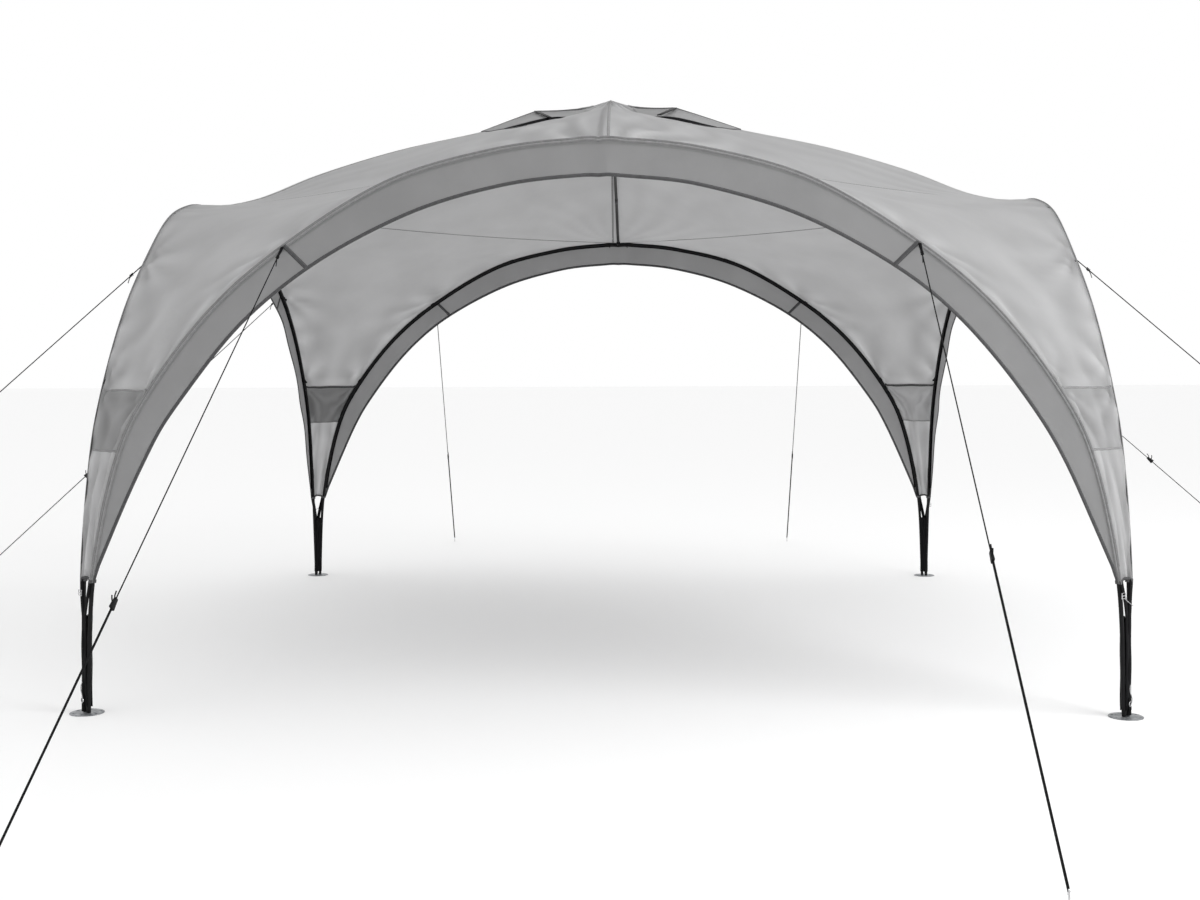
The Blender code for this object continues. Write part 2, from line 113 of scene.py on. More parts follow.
def mottled(name, colour, darker, scale, roughness, metallic=0.0, bump=0.1, bump_scale=400.0, gloss=0.5):
    """A finish whose colour wanders between two shades, with a fine rough surface."""
    made = bpy.data.materials.new(name)
    made.use_nodes = True
    tree = made.node_tree
    shader = tree.nodes["Principled BSDF"]
    shader.inputs["Metallic"].default_value = metallic
    shader.inputs["Specular IOR Level"].default_value = gloss
    place = add_node(tree, "ShaderNodeTexCoord")
    cloud = add_node(tree, "ShaderNodeTexNoise", Scale=scale, Detail=6.0, Roughness=0.6)
    shade = add_node(tree, "ShaderNodeMix", data_type="RGBA")
    shade.inputs["A"].default_value = colour
    shade.inputs["B"].default_value = darker
    spread = add_node(tree, "ShaderNodeMapRange", From_Min=0.35, From_Max=0.7)
    rough = add_node(tree, "ShaderNodeMapRange", To_Min=roughness - 0.08, To_Max=roughness + 0.1)
    grain = add_node(tree, "ShaderNodeTexNoise", Scale=bump_scale, Detail=3.0)
    height = add_node(tree, "ShaderNodeBump", Strength=bump, Distance=0.001)
    tree.links.new(place.outputs["Object"], cloud.inputs["Vector"])
    tree.links.new(place.outputs["Object"], grain.inputs["Vector"])
    tree.links.new(cloud.outputs["Fac"], spread.inputs["Value"])
    tree.links.new(spread.outputs["Result"], shade.inputs["Factor"])
    tree.links.new(shade.outputs["Result"], shader.inputs["Base Color"])
    tree.links.new(cloud.outputs["Fac"], rough.inputs["Value"])
    tree.links.new(rough.outputs["Result"], shader.inputs["Roughness"])
    tree.links.new(grain.outputs["Fac"], height.inputs["Height"])
    tree.links.new(height.outputs["Normal"], shader.inputs["Normal"])
    return made


def make_piece(name, bm, finish, nodes=(), sharp=40, thickness=0.0):
    """Turn a bmesh into a named piece that rides on the tent and stands for its CAD nodes."""
    mesh = bpy.data.meshes.new(name)
    bm.to_mesh(mesh)
    bm.free()
    mesh.shade_smooth()
    mesh.set_sharp_from_angle(angle=math.radians(sharp))
    mesh.materials.append(finish)
    piece = bpy.data.objects.new(name, mesh)
    bpy.context.scene.collection.objects.link(piece)
    if thickness:
        wall = piece.modifiers.new("thickness", "SOLIDIFY")
        wall.thickness = thickness
        wall.offset = 0.0
    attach(piece, "root")
    if nodes:
        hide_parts(*nodes)
    return piece


zinc = mottled("zinc_plate", ZINC, (0.09, 0.10, 0.11, 1.0), 60.0, 0.45, metallic=0.6, bump=0.15)
for corner, corner_name in enumerate(CORNERS):
    plate = bmesh.new()
    bmesh.ops.create_circle(plate, segments=64, radius=FOOT_RADIUS - 0.003)
    for k in range(FOOT_HOLES):
        turn = math.tau * (k + 0.5) / FOOT_HOLES
        spot = Vector((math.cos(turn), math.sin(turn), 0)) * FOOT_HOLE_PLACE
        bmesh.ops.create_circle(plate, segments=16, radius=FOOT_HOLE_RADIUS, matrix=Matrix.Translation(spot))
    bmesh.ops.triangle_fill(plate, use_beauty=True, use_dissolve=False, edges=plate.edges)
    bmesh.ops.recalc_face_normals(plate, faces=plate.faces)
    if sum(face.normal.z for face in plate.faces) < 0:
        bmesh.ops.reverse_faces(plate, faces=plate.faces)
    for face in plate.faces:
        for vert in face.verts:
            vert.co.z = FOOT_THICKNESS
    rim = [e for e in plate.edges if e.is_boundary and e.verts[0].co.length > FOOT_RADIUS - 0.006]
    outer = bmesh.ops.extrude_edge_only(plate, edges=rim)["geom"]
    for vert in (g for g in outer if isinstance(g, bmesh.types.BMVert)):
        vert.co.x *= FOOT_RADIUS / (FOOT_RADIUS - 0.003)
        vert.co.y *= FOOT_RADIUS / (FOOT_RADIUS - 0.003)
        vert.co.z = FOOT_THICKNESS - 0.0015
    rim = [g for g in outer if isinstance(g, bmesh.types.BMEdge)]
    rim += [e for e in plate.edges if e.is_boundary and e not in rim and e.verts[0].co.z > FOOT_THICKNESS - 0.001]
    lower = bmesh.ops.extrude_edge_only(plate, edges=rim)["geom"]
    for vert in (g for g in lower if isinstance(g, bmesh.types.BMVert)):
        vert.co.z = 0.0
    bmesh.ops.triangle_fill(plate, use_beauty=True, use_dissolve=False,
                            edges=[g for g in lower if isinstance(g, bmesh.types.BMEdge)])
    bmesh.ops.recalc_face_normals(plate, faces=plate.faces)
    bmesh.ops.translate(plate, verts=plate.verts, vec=on_side(corner, HALF_SIDE, 0, 0))
    make_piece(f"foot_{corner_name}", plate, zinc, [f"foot_plate_{corner_name}"], sharp=30)

# Side arches: bent tubes of black powder-coated steel, 19 mm across, in sections that plug together.
# Each section's end is swaged into the next, so every joint shows as a short, slightly thicker sleeve.
ARCH_PROFILE = ((0.0, 0.080, 2.448), (0.095, 0.080, 2.448), (0.44, 0.068, 2.410), (0.89, 0.040, 2.289),
                (1.33, 0.014, 2.035), (1.667, 0.007, 1.757), (1.945, 0.008, 1.406), (2.095, 0.012, 1.100),
                (2.205, 0.018, 0.590), (2.238, 0.012, 0.0045))
ARCH_STEPS = 9
HEM_STEP = 8 * ARCH_STEPS
POLE_RADIUS = 0.0095
HUB_HALF_LENGTH = 0.075
JOINT_PLACES = (0.78, 1.52, 2.24, 2.94)
BLACK = (0.005, 0.005, 0.0055, 1.0)


def smooth_curve(points, steps):
    """Points of a smooth curve through the given ones, with some steps between each two."""
    result = []
    for i in range(len(points) - 1):
        p1, p2 = Vector(points[i]), Vector(points[i + 1])
        p0 = Vector(points[i - 1]) if i else p1 * 2 - p2
        p3 = Vector(points[i + 2]) if i + 2 < len(points) else p2 * 2 - p1
        for step in range(steps):
            t = step / steps
            part = p1 * 2 + (p2 - p0) * t + (p0 * 2 - p1 * 5 + p2 * 4 - p3) * t * t
            result.append((part + (p1 * 3 - p0 - p2 * 3 + p3) * t ** 3) / 2)
    return result + [Vector(points[-1])]


def along(points, distance):
    """The point at a distance along a run of points, and the direction there."""
    for a, b in zip(points, points[1:]):
        span = (b - a).length
        if distance <= span:
            return a.lerp(b, distance / span), (b - a) / span
        distance -= span
    return points[-1], (points[-1] - points[-2]).normalized()


def bars(name, runs, sides=16):
    """Round bars along runs of points, each as (points, radii), as one bmesh."""
    curve = bpy.data.curves.new(name, "CURVE")
    curve.dimensions = "3D"
    curve.bevel_depth = 1.0
    curve.bevel_resolution = sides // 4 - 1
    curve.use_fill_caps = True
    for points, radii in runs:
        line = curve.splines.new("POLY")
        line.points.add(len(points) - 1)
        for k, point in enumerate(points):
            line.points[k].co = (*point, 1.0)
            line.points[k].radius = radii[k] if hasattr(radii, "__len__") else radii
    carrier = bpy.data.objects.new(name, curve)
    bm = bmesh.new()
    bm.from_mesh(carrier.to_mesh())
    carrier.to_mesh_clear()
    bpy.data.objects.remove(carrier)
    bmesh.ops.remove_doubles(bm, verts=bm.verts, dist=1e-6)
    return bm


def sleeve(points, middle, length, radius, ease=0.004):
    """A short sleeve round a run of points, eased at both ends."""
    marks = (-length / 2, -length / 2 + ease, length / 2 - ease, length / 2)
    path = [along(points, middle + mark)[0] for mark in marks]
    return path, (radius * 0.86, radius, radius, radius * 0.86)


ARCH = smooth_curve(ARCH_PROFILE, ARCH_STEPS)
black_steel = mottled("black_steel", BLACK, (0.010, 0.010, 0.011, 1.0), 14.0, 0.36, bump=0.12, gloss=0.12)
for side, side_name in enumerate(SIDES):
    for direction in (-1, 1):
        corner_name = CORNERS[side if direction > 0 else (side - 1) % 4]
        path = [on_side(side, direction * p.x, p.y, p.z) for p in ARCH if p.x > HUB_HALF_LENGTH - 0.02]
        runs = [(path, POLE_RADIUS)]
        runs += [sleeve(path, place, 0.075, POLE_RADIUS + 0.0013) for place in JOINT_PLACES]
        make_piece(f"arch_tube_{side_name}_at_{corner_name}", bars("arch", runs), black_steel,
                   [f"arch_pole_{side_name}_at_{corner_name}"])

# Ridge poles: four bent tubes of the same steel under the roof, plugged together in two places each.
# They run from the tee on top of each arch up to the boss at the crown.
RIDGE_PROFILE = ((0.0, 3.000), (0.35, 2.958), (0.80, 2.862), (1.25, 2.768), (1.70, 2.636),
                 (2.05, 2.502), (2.33, 2.448))
RIDGE = [(p.x, p.y) for p in smooth_curve(RIDGE_PROFILE, 6)]
RIDGE_FOOT = RIDGE[-1][0]
RIDGE_ENDS = (0.030, 0.050)
RIDGE_JOINTS = (0.80, 1.55)

for side, side_name in enumerate(SIDES):
    path = [on_side(side, 0, r - HALF_SIDE, z) for r, z in RIDGE if RIDGE_ENDS[0] < r < RIDGE_FOOT - RIDGE_ENDS[1]]
    runs = [(path, POLE_RADIUS)] + [sleeve(path, place, 0.075, POLE_RADIUS + 0.0013) for place in RIDGE_JOINTS]
    make_piece(f"ridge_tube_{side_name}", bars("ridge", runs), black_steel, [f"ridge_pole_{side_name}"])

# Hubs: black moulded nylon. A tee on top of each arch takes both half arches and the foot of a ridge pole;
# the boss at the crown takes the four ridge poles. Collars and small hooks are moulded on.
TEE_RADIUS = 0.0120
COLLAR_RADIUS = 0.0138
TEE_STUB = 0.060
HOOK_RADIUS = 0.0035

black_nylon = mottled("black_nylon", (0.005, 0.005, 0.0055, 1.0), (0.010, 0.010, 0.011, 1.0), 25.0, 0.48, bump=0.2,
                      gloss=0.12)
for side, side_name in enumerate(SIDES):
    top = ARCH[0]
    ends = [on_side(side, s, top.y, top.z) for s in (-HUB_HALF_LENGTH, HUB_HALF_LENGTH)]
    marks = (0.0, 0.003, 0.014, 0.017, 0.060, 0.090, 0.133, 0.136, 0.147, 0.150)
    radii = (COLLAR_RADIUS - 0.0012, COLLAR_RADIUS, COLLAR_RADIUS, TEE_RADIUS, TEE_RADIUS,
             TEE_RADIUS, TEE_RADIUS, COLLAR_RADIUS, COLLAR_RADIUS, COLLAR_RADIUS - 0.0012)
    runs = [([along(ends, mark)[0] for mark in marks], radii)]
    slope = (RIDGE[-4][1] - RIDGE[-1][1]) / (RIDGE[-1][0] - RIDGE[-4][0])
    stub = [on_side(side, 0, top.y - d, top.z + slope * d) for d in (0.0, 0.043, 0.046, 0.057, TEE_STUB)]
    runs.append((stub, (TEE_RADIUS, TEE_RADIUS, COLLAR_RADIUS, COLLAR_RADIUS, COLLAR_RADIUS - 0.0012)))
    for s in (-0.064, 0.064):
        hook = [on_side(side, s, top.y - n, top.z - z) for n, z in ((0.0, 0.010), (0.004, 0.020), (0.010, 0.022))]
        runs.append((hook, HOOK_RADIUS))
    make_piece(f"apex_tee_{side_name}", bars("tee", runs), black_nylon, [f"apex_hub_{side_name}"])

crown_top = RIDGE[0][1]
boss = [((Vector((0, 0, crown_top - 0.026)), Vector((0, 0, crown_top - 0.022)), Vector((0, 0, crown_top + 0.008)),
          Vector((0, 0, crown_top + 0.013)), Vector((0, 0, crown_top + 0.015))), (0.024, 0.029, 0.030, 0.027, 0.016))]
for side in range(4):
    socket = [on_side(side, 0, r - HALF_SIDE, crown_top - 0.11 * r) for r in (0.010, 0.062, 0.066, 0.078, 0.081)]
    boss.append((socket, (TEE_RADIUS, TEE_RADIUS, COLLAR_RADIUS, COLLAR_RADIUS, COLLAR_RADIUS - 0.0012)))
make_piece("crown_boss", bars("boss", boss, sides=24), black_nylon, ["crown_hub"])

# Canopy: one sewn sheet of coated grey polyester, stretched over the ridge poles and the four arches.
# A diamond of four gores meets the curved corners along straight seams from hub to hub, and each corner
# runs down to the hem of its leg. It is pinched up at the crown and pulls into creases at the hubs.
CLOTH = 0.003
CLOTH_SHOWN = 0.0012
HUB_CLEAR = 0.0121
POLE_CLEAR = 0.0101
EDGE_OUT = HUB_CLEAR + CLOTH / 2
CROWN_PINCH = 0.048
PINCH_REACH = 0.45
CROWN_DIP = 0.030
CROWN_SAG = 0.016
CORNER_SAG = ((0.0, 0.0113), (0.20, 0.026), (0.44, 0.039), (0.89, 0.042), (1.33, 0.035), (1.667, 0.030),
              (1.945, 0.019), (2.205, 0.015))
HEM_DROP = 0.016
HEM_ARCH = 0.016
ACROSS = 64
GORE_ROWS = 64
SEAM_ROWS = (0, 54, 62)
GUY_ROW = 36
ROOF_GREY = (0.64, 0.64, 0.643, 1.0)
TWIST = 0.040


def value_at(points, x):
    """Value of an (x, value) polyline at x."""
    for left, right in zip(points, points[1:]):
        if x <= right[0]:
            share = max(0.0, (x - left[0]) / (right[0] - left[0]))
            return left[1] + (right[1] - left[1]) * share
    return points[-1][1]


def cloth_finish(name, light, dark, shine=0.62, through=0.70, crease=0.25):
    """Woven polyester: a plain weave in metres of its UV map, soft creases, and light coming through."""
    made = mottled(name, light, dark, 3.0, shine, bump=0.05)
    tree = made.node_tree
    shader = tree.nodes["Principled BSDF"]
    shader.inputs["Sheen Weight"].default_value = 0.15
    shader.inputs["Sheen Roughness"].default_value = 0.5
    place = tree.nodes["Texture Coordinate"]
    heights = []
    for direction in ("X", "Y"):
        thread = add_node(tree, "ShaderNodeTexWave", bands_direction=direction, Scale=380.0, Distortion=0.6)
        tree.links.new(place.outputs["UV"], thread.inputs["Vector"])
        heights.append(thread.outputs["Fac"])
    weave = add_node(tree, "ShaderNodeMath", operation="MULTIPLY")
    tree.links.new(heights[0], weave.inputs[0])
    tree.links.new(heights[1], weave.inputs[1])
    fine = add_node(tree, "ShaderNodeBump", Strength=0.12, Distance=0.0004)
    tree.links.new(weave.outputs[0], fine.inputs["Height"])
    folds = add_node(tree, "ShaderNodeTexNoise", Scale=5.0, Detail=3.0, Roughness=0.5, Distortion=1.2)
    tree.links.new(place.outputs["Object"], folds.inputs["Vector"])
    soft = add_node(tree, "ShaderNodeBump", Strength=crease, Distance=0.012)
    tree.links.new(folds.outputs["Fac"], soft.inputs["Height"])
    tree.links.new(fine.outputs["Normal"], soft.inputs["Normal"])
    tree.links.new(soft.outputs["Normal"], shader.inputs["Normal"])
    glow = add_node(tree, "ShaderNodeBsdfTranslucent")
    both = add_node(tree, "ShaderNodeMixShader", Fac=through)
    tree.links.new(shader.inputs["Base Color"].links[0].from_socket, glow.inputs["Color"])
    tree.links.new(soft.outputs["Normal"], glow.inputs["Normal"])
    tree.links.new(shader.outputs["BSDF"], both.inputs[1])
    tree.links.new(glow.outputs["BSDF"], both.inputs[2])
    tree.links.new(both.outputs["Shader"], tree.nodes["Material Output"].inputs["Surface"])
    return made


def shade_folds(made, depth):
    """Paint shade into the hollows of a cloth's folds and a highlight onto their ridges, from the fold height kept
    with the mesh.
    """
    tree = made.node_tree
    height = add_node(tree, "ShaderNodeAttribute", attribute_name="fold")
    painted_fold_light = add_node(tree, "ShaderNodeMapRange", From_Min=-0.010, From_Max=0.010, To_Min=1 - depth, To_Max=1 + depth)
    painted_fold_light.clamp = False
    tree.links.new(height.outputs["Fac"], painted_fold_light.inputs["Value"])
    shaded = add_node(tree, "ShaderNodeMix", data_type="RGBA", blend_type="MULTIPLY")
    shaded.inputs["Factor"].default_value = 1.0
    tree.links.new(tree.nodes["Principled BSDF"].inputs["Base Color"].links[0].from_socket, shaded.inputs["A"])
    tree.links.new(painted_fold_light.outputs["Result"], shaded.inputs["B"])
    for node, socket in ("Principled BSDF", "Base Color"), ("Translucent BSDF", "Color"):
        tree.links.new(shaded.outputs["Result"], tree.nodes[node].inputs[socket])


def stitched(made, rows, thread):
    """Rows of stitches along a strip, at distances in metres from its edge in the UV map."""
    tree = made.node_tree
    shader = tree.nodes["Principled BSDF"]
    source = shader.inputs["Base Color"].links[0].from_socket
    split = add_node(tree, "ShaderNodeSeparateXYZ")
    tree.links.new(tree.nodes["Texture Coordinate"].outputs["UV"], split.inputs[0])
    stitch = add_node(tree, "ShaderNodeMath", operation="PINGPONG")
    stitch.inputs[1].default_value = 0.0022
    tree.links.new(split.outputs["X"], stitch.inputs[0])
    dash = add_node(tree, "ShaderNodeMath", operation="GREATER_THAN")
    dash.inputs[1].default_value = 0.0007
    tree.links.new(stitch.outputs[0], dash.inputs[0])
    for row in rows:
        near = add_node(tree, "ShaderNodeMath", operation="COMPARE")
        near.inputs[1].default_value = row
        near.inputs[2].default_value = 0.0005
        tree.links.new(split.outputs["Y"], near.inputs[0])
        both = add_node(tree, "ShaderNodeMath", operation="MULTIPLY")
        tree.links.new(near.outputs[0], both.inputs[0])
        tree.links.new(dash.outputs[0], both.inputs[1])
        sewn = add_node(tree, "ShaderNodeMix", data_type="RGBA")
        sewn.inputs["B"].default_value = thread
        tree.links.new(both.outputs[0], sewn.inputs["Factor"])
        tree.links.new(source, sewn.inputs["A"])
        source = sewn.outputs["Result"]
    tree.links.new(source, shader.inputs["Base Color"])


def shade_at_seam(made, depth, share):
    """Darken a cloth near its upper sewn edge, where the tube behind keeps the light out."""
    tree = made.node_tree
    split = add_node(tree, "ShaderNodeSeparateXYZ")
    tree.links.new(tree.nodes["Texture Coordinate"].outputs["UV"], split.inputs[0])
    fade = add_node(tree, "ShaderNodeMapRange", From_Min=depth * 0.4, From_Max=depth, To_Min=share, To_Max=1.0)
    tree.links.new(split.outputs["Y"], fade.inputs["Value"])
    shaded = add_node(tree, "ShaderNodeMix", data_type="RGBA", blend_type="MULTIPLY")
    shaded.inputs["Factor"].default_value = 1.0
    tree.links.new(tree.nodes["Principled BSDF"].inputs["Base Color"].links[0].from_socket, shaded.inputs["A"])
    tree.links.new(fade.outputs["Result"], shaded.inputs["B"])
    for node, socket in ("Principled BSDF", "Base Color"), ("Translucent BSDF", "Color"):
        tree.links.new(shaded.outputs["Result"], tree.nodes[node].inputs[socket])


def lay_cloth(bm, across, down, point):
    """A grid of cloth added to a bmesh, each of its points put where point(column, row) says.

    A third value from point is the height of a fold there, from which the cloth's finish paints shade and highlight."""
    folds = bm.verts.layers.float.get("fold") or bm.verts.layers.float.new("fold")
    made = bmesh.ops.create_grid(bm, x_segments=across, y_segments=down, size=0.5)
    flat = bm.loops.layers.uv.verify()
    uvs = {}
    for vert in made["verts"]:
        column, row = round((vert.co.x + 0.5) * across), round((vert.co.y + 0.5) * down)
        vert.co, uvs[vert], *height = point(column, row)
        vert[folds] = height[0] if height else 0.0
    for face in {face for vert in made["verts"] for face in vert.link_faces}:
        for loop in face.loops:
            loop[flat].uv = uvs[loop.vert]


def crown_height(x, y):
    """Middle of the crown cloth: pinched up at the crown, and dipping between the ridge poles round it."""
    reach = abs(x) + abs(y)
    share = abs(x) / reach if reach else 0.0
    pinch = CROWN_PINCH * max(0.0, 1.0 - reach / PINCH_REACH) ** 2.3
    dip = CROWN_DIP * math.exp(-((reach - 0.36) / 0.21) ** 2)
    sag = (CROWN_SAG * reach + dip) * 4 * share * (1 - share)
    return value_at(RIDGE, reach) + HUB_CLEAR + CLOTH / 2 + pinch - sag


HUB_FOLDS = (0.020, 0.006, 0.004, 0.006)


def share_at(column):
    """Share of the way across at a column: the columns lie closer together near both edges."""
    even = column / ACROSS
    return (even + 0.5 - 0.5 * math.cos(math.pi * even)) / 2


def hub_creases(corner, reach, share):
    """Folds in a gore that fan out from the hubs at its two lower corners and from the crown."""
    ridge = min(share, 1 - share)
    hub = math.hypot(RIDGE_FOOT - reach, ridge * reach * 1.3)
    fan = math.atan2(ridge * reach * 1.3, max(1e-4, RIDGE_FOOT - reach))
    wander = noise.noise(Vector((reach * 2.2, share * 5, 3.1)))
    side = (corner + (share > 0.5)) % 4
    fold = HUB_FOLDS[side] * math.exp(-hub / 0.55) * math.sin(fan * 17 + wander * 5) * min(1.0, hub / 0.08)
    if side == 0:
        fold += 0.007 * math.exp(-hub / 0.9 - fan / 0.45) * math.sin(fan * 42 + wander * 2) * min(1.0, hub / 0.10)
    fold += 0.009 * math.exp(-reach / 0.45) * math.cos(share * math.tau * 4 + wander * 2) * min(1.0, reach / 0.10)
    return fold * min(1.0, ridge * 14)


def crown_surface(x, y):
    """Height of the crown cloth with its folds."""
    for corner in range(4):
        spot = Matrix.Rotation(-corner * math.pi / 2, 2) @ Vector((x, y))
        if spot.x >= -1e-9 and spot.y <= 1e-9:
            reach = max(1e-6, spot.x - spot.y)
            return crown_height(x, y) + hub_creases(corner, reach, spot.x / reach)


def gore_point(corner, reach, share):
    """A point of the crown gore between the ridge poles of two neighbouring sides."""
    spot = Matrix.Rotation(corner * math.pi / 2, 2) @ Vector((share * reach, -(1 - share) * reach))
    return Vector((spot.x, spot.y, crown_height(spot.x, spot.y)))


def facing_at(i):
    """Outward direction of the corner cloth at a step of the arch, along s, n and z."""
    if ARCH[i].x <= HUB_HALF_LENGTH + 0.021:
        return Vector((0, 0, 1))
    above, below = ARCH[i - 1], ARCH[min(i + 1, len(ARCH) - 1)]
    run = (below.x + below.y - above.x - above.y) / math.sqrt(2)
    fall = above.z - below.z
    return Vector((fall / math.sqrt(2), fall / math.sqrt(2), run)) / math.hypot(run, fall)


def corner_outward(corner):
    """Level direction from the middle of the tent to one of its corners."""
    return on_side(corner, 1, 1 - HALF_SIDE, 0).normalized()


def corner_row(corner, i, clear):
    """The straight ends, the facing and the sag of the cloth across a corner at a step of the arch."""
    p = ARCH[i] if i else Vector((EDGE_OUT, ARCH[0].y, ARCH[0].z))
    facing = facing_at(i)
    normal = corner_outward(corner) * facing.x * math.sqrt(2) + Vector((0, 0, facing.z))
    a, b = on_side(corner, p.x, p.y, p.z), on_side(corner + 1, -p.x, p.y, p.z)
    share = value_at(CORNER_SAG, p.x)
    past = (EDGE_OUT - facing.y * (clear + CLOTH / 2)) * math.sqrt(2) / (1 + 7.0 * share * facing.y)
    return a, b, normal, share * (b - a).length, past


def corner_point(corner, i, share, inside=0.0):
    """A point of the corner cloth, at a step of the arch and a share of the way across."""
    clear = HUB_CLEAR if ARCH[i].x <= HUB_HALF_LENGTH + 0.021 else POLE_CLEAR
    a, b, normal, sag, past = corner_row(corner, i, clear)
    width = (b - a).length
    t = (share * (width + 2 * past) - past) / width
    drop = sag * 4 * t * (1 - t)
    return a.lerp(b, t) + normal * (clear + CLOTH / 2 - drop - inside)


def corner_creases(corner, i, share):
    """Short pulls along both arches and long soft folds down the leg, with and without the slow billow."""
    depth = i / HEM_STEP
    width = (ARCH[HEM_STEP].x + 0.15 - ARCH[i].x) * math.sqrt(2)
    edge = min(share, 1 - share)
    off = edge * width
    wander = noise.noise(Vector((depth * 9, share * 3, corner * 7.3)))
    pull = 0.006 * math.exp(-off / 0.16) * math.sin(depth * 88 + off * 14 + wander * 5)
    for row in (GUY_ROW, SEAM_ROWS[1]):
        away = (i - row) * 0.045
        fan = math.atan2(off, away + 0.02)
        pull += 0.010 * math.exp(-math.hypot(off, away) / 0.24) * math.sin(fan * 9)
    fold = 0.005 * math.sin(share * math.tau * 2.5 + wander * 3) * depth ** 2
    billow = 0.010 * wander * math.sin(math.pi * share) * math.sin(math.pi * depth)
    fade = min(1.0, edge * 18) * min(1.0, i / 5)
    return (pull + fold + billow) * fade, (pull + fold) * fade


def canopy_point(corner, i, share):
    """A point of the finished corner cloth, creases and arched hem included."""
    if not i:
        return gore_point(corner, GORE_END, share)
    point = corner_point(corner, i, share)
    if i == HEM_STEP:
        down = (point - corner_point(corner, i - 1, share)).normalized()
        point += down * (HEM_DROP - HEM_ARCH * 4 * share * (1 - share))
    return point + corner_row(corner, i, POLE_CLEAR)[2] * corner_creases(corner, i, share)[0]


GORE_END = RIDGE_FOOT + EDGE_OUT
ROWS = [0] + [i for i in range(HEM_STEP + 1) if ARCH[i].x > 2 * EDGE_OUT]
roof_cloth = cloth_finish("roof_cloth", ROOF_GREY, (0.60, 0.60, 0.603, 1.0))
# Painted shade in the roof cloth's fold hollows, painted highlight on their ridges.
shade_folds(roof_cloth, 0.17)
seam_cloth = mottled("seam_tape", (0.20, 0.20, 0.202, 1.0), (0.15, 0.15, 0.152, 1.0), 60.0, 0.7, bump=0.3)
stitched(seam_cloth, (0.003, 0.008), (0.42, 0.42, 0.422, 1.0))
canopy_mesh = bmesh.new()
tapes = bmesh.new()
for corner in range(4):
    def gore(column, row):
        reach, share = GORE_END * row / GORE_ROWS, share_at(column)
        point = gore_point(corner, reach, share)
        fold = hub_creases(corner, reach, share)
        point.z += fold
        return point, ((share - 0.5) * reach * math.sqrt(2), reach / math.sqrt(2)), fold

    def corner_sheet(column, row):
        share = share_at(column)
        point = canopy_point(corner, ROWS[row], share)
        width = (point - canopy_point(corner, ROWS[row], 0.5)).length * (1 if share > 0.5 else -1)
        return point, (width, 1.7 + ROWS[row] * 0.045), corner_creases(corner, ROWS[row], share)[1]

    lay_cloth(canopy_mesh, ACROSS, GORE_ROWS, gore)
    lay_cloth(canopy_mesh, ACROSS, len(ROWS) - 1, corner_sheet)

    for seam in SEAM_ROWS:
        def cross_seam(column, row):
            share = 0.01 + 0.98 * column / ACROSS
            point = canopy_point(corner, seam, share)
            below = canopy_point(corner, max(seam + 1, ROWS[1]), share)
            return point + (below - point).normalized() * (row - 0.5) * 0.009, (column * 0.05, row * 0.009)

        lay_cloth(tapes, ACROSS, 1, cross_seam)

    def ridge_seam(column, row):
        reach = 0.04 + (GORE_END - 0.06) * row / GORE_ROWS
        spot = on_side(corner, TWIST * reach / GORE_END + (column - 1) * 0.006, reach - HALF_SIDE, 0)
        return Vector((spot.x, spot.y, crown_surface(spot.x, spot.y))), (row * 0.05, column * 0.006)

    lay_cloth(tapes, 2, GORE_ROWS, ridge_seam)
bmesh.ops.remove_doubles(canopy_mesh, verts=canopy_mesh.verts, dist=2e-4)
bmesh.ops.recalc_face_normals(canopy_mesh, faces=canopy_mesh.faces)
canopy = make_piece("canopy", canopy_mesh, roof_cloth,
                    ["roof_crown"] + [f"{part}_{c}" for c in CORNERS for part in ("roof_corner", "leg_skirt")],
                    sharp=180, thickness=CLOTH_SHOWN)
seam_tape = make_piece("seam_tape", tapes, seam_cloth, sharp=180, thickness=0.0026)

# Valances: a curved strip of a darker grey polyester is sewn to the canopy's edge outside each arch.
# It hangs straight down past the tubes, which shade it through the cloth, and its lower edge is bound.
VALANCE_EDGE = ((0.0, 2.300), (0.090, 2.299), (0.415, 2.262), (0.82, 2.146), (1.225, 1.938), (1.535, 1.692),
                (1.81, 1.358), (1.975, 1.085), (2.194, 0.596))
EDGE = smooth_curve(VALANCE_EDGE, ARCH_STEPS)
DOWN = 10
BINDING = 0.015
TOP_BAND = 0.017

valance_cloth = cloth_finish("valance_cloth", (0.485, 0.485, 0.488, 1.0), (0.445, 0.445, 0.448, 1.0), through=0.66)
webbing = mottled("black_webbing", (0.005, 0.005, 0.0055, 1.0), (0.010, 0.010, 0.011, 1.0), 300.0, 0.8, bump=0.5,
                  gloss=0.06)
binding = mottled("edge_binding", (0.075, 0.075, 0.077, 1.0), (0.050, 0.050, 0.052, 1.0), 90.0, 0.7, bump=0.4, gloss=0.2)
stitched(binding, (0.003, 0.014), (0.16, 0.16, 0.162, 1.0))
shade_at_seam(valance_cloth, 0.030, 0.84)


def valance_point(side, step, share):
    """A point of a valance: step runs along the arch from hem to hem, share from its top to its lower edge."""
    i = ROWS[abs(step)]
    hand = 1 if step >= 0 else -1
    top = canopy_point(side if step >= 0 else side - 1, i, 0.0 if step >= 0 else 1.0)
    low = on_side(side, hand * EDGE[i].x, ARCH[i].y + EDGE_OUT, EDGE[i].y - (HEM_DROP if i == HEM_STEP else 0))
    wave = 0.004 * math.sin(step * 0.55 + side * 2) * math.sin(math.pi * min(1.0, share) * 0.5) ** 2
    out = on_side(side, 0, 1 - HALF_SIDE, 0)
    return top.lerp(low, share) + out * wave * min(1.0, (HEM_STEP - i) / 8)


def valance_depth(side, step):
    return (valance_point(side, step, 1.0) - valance_point(side, step, 0.0)).length


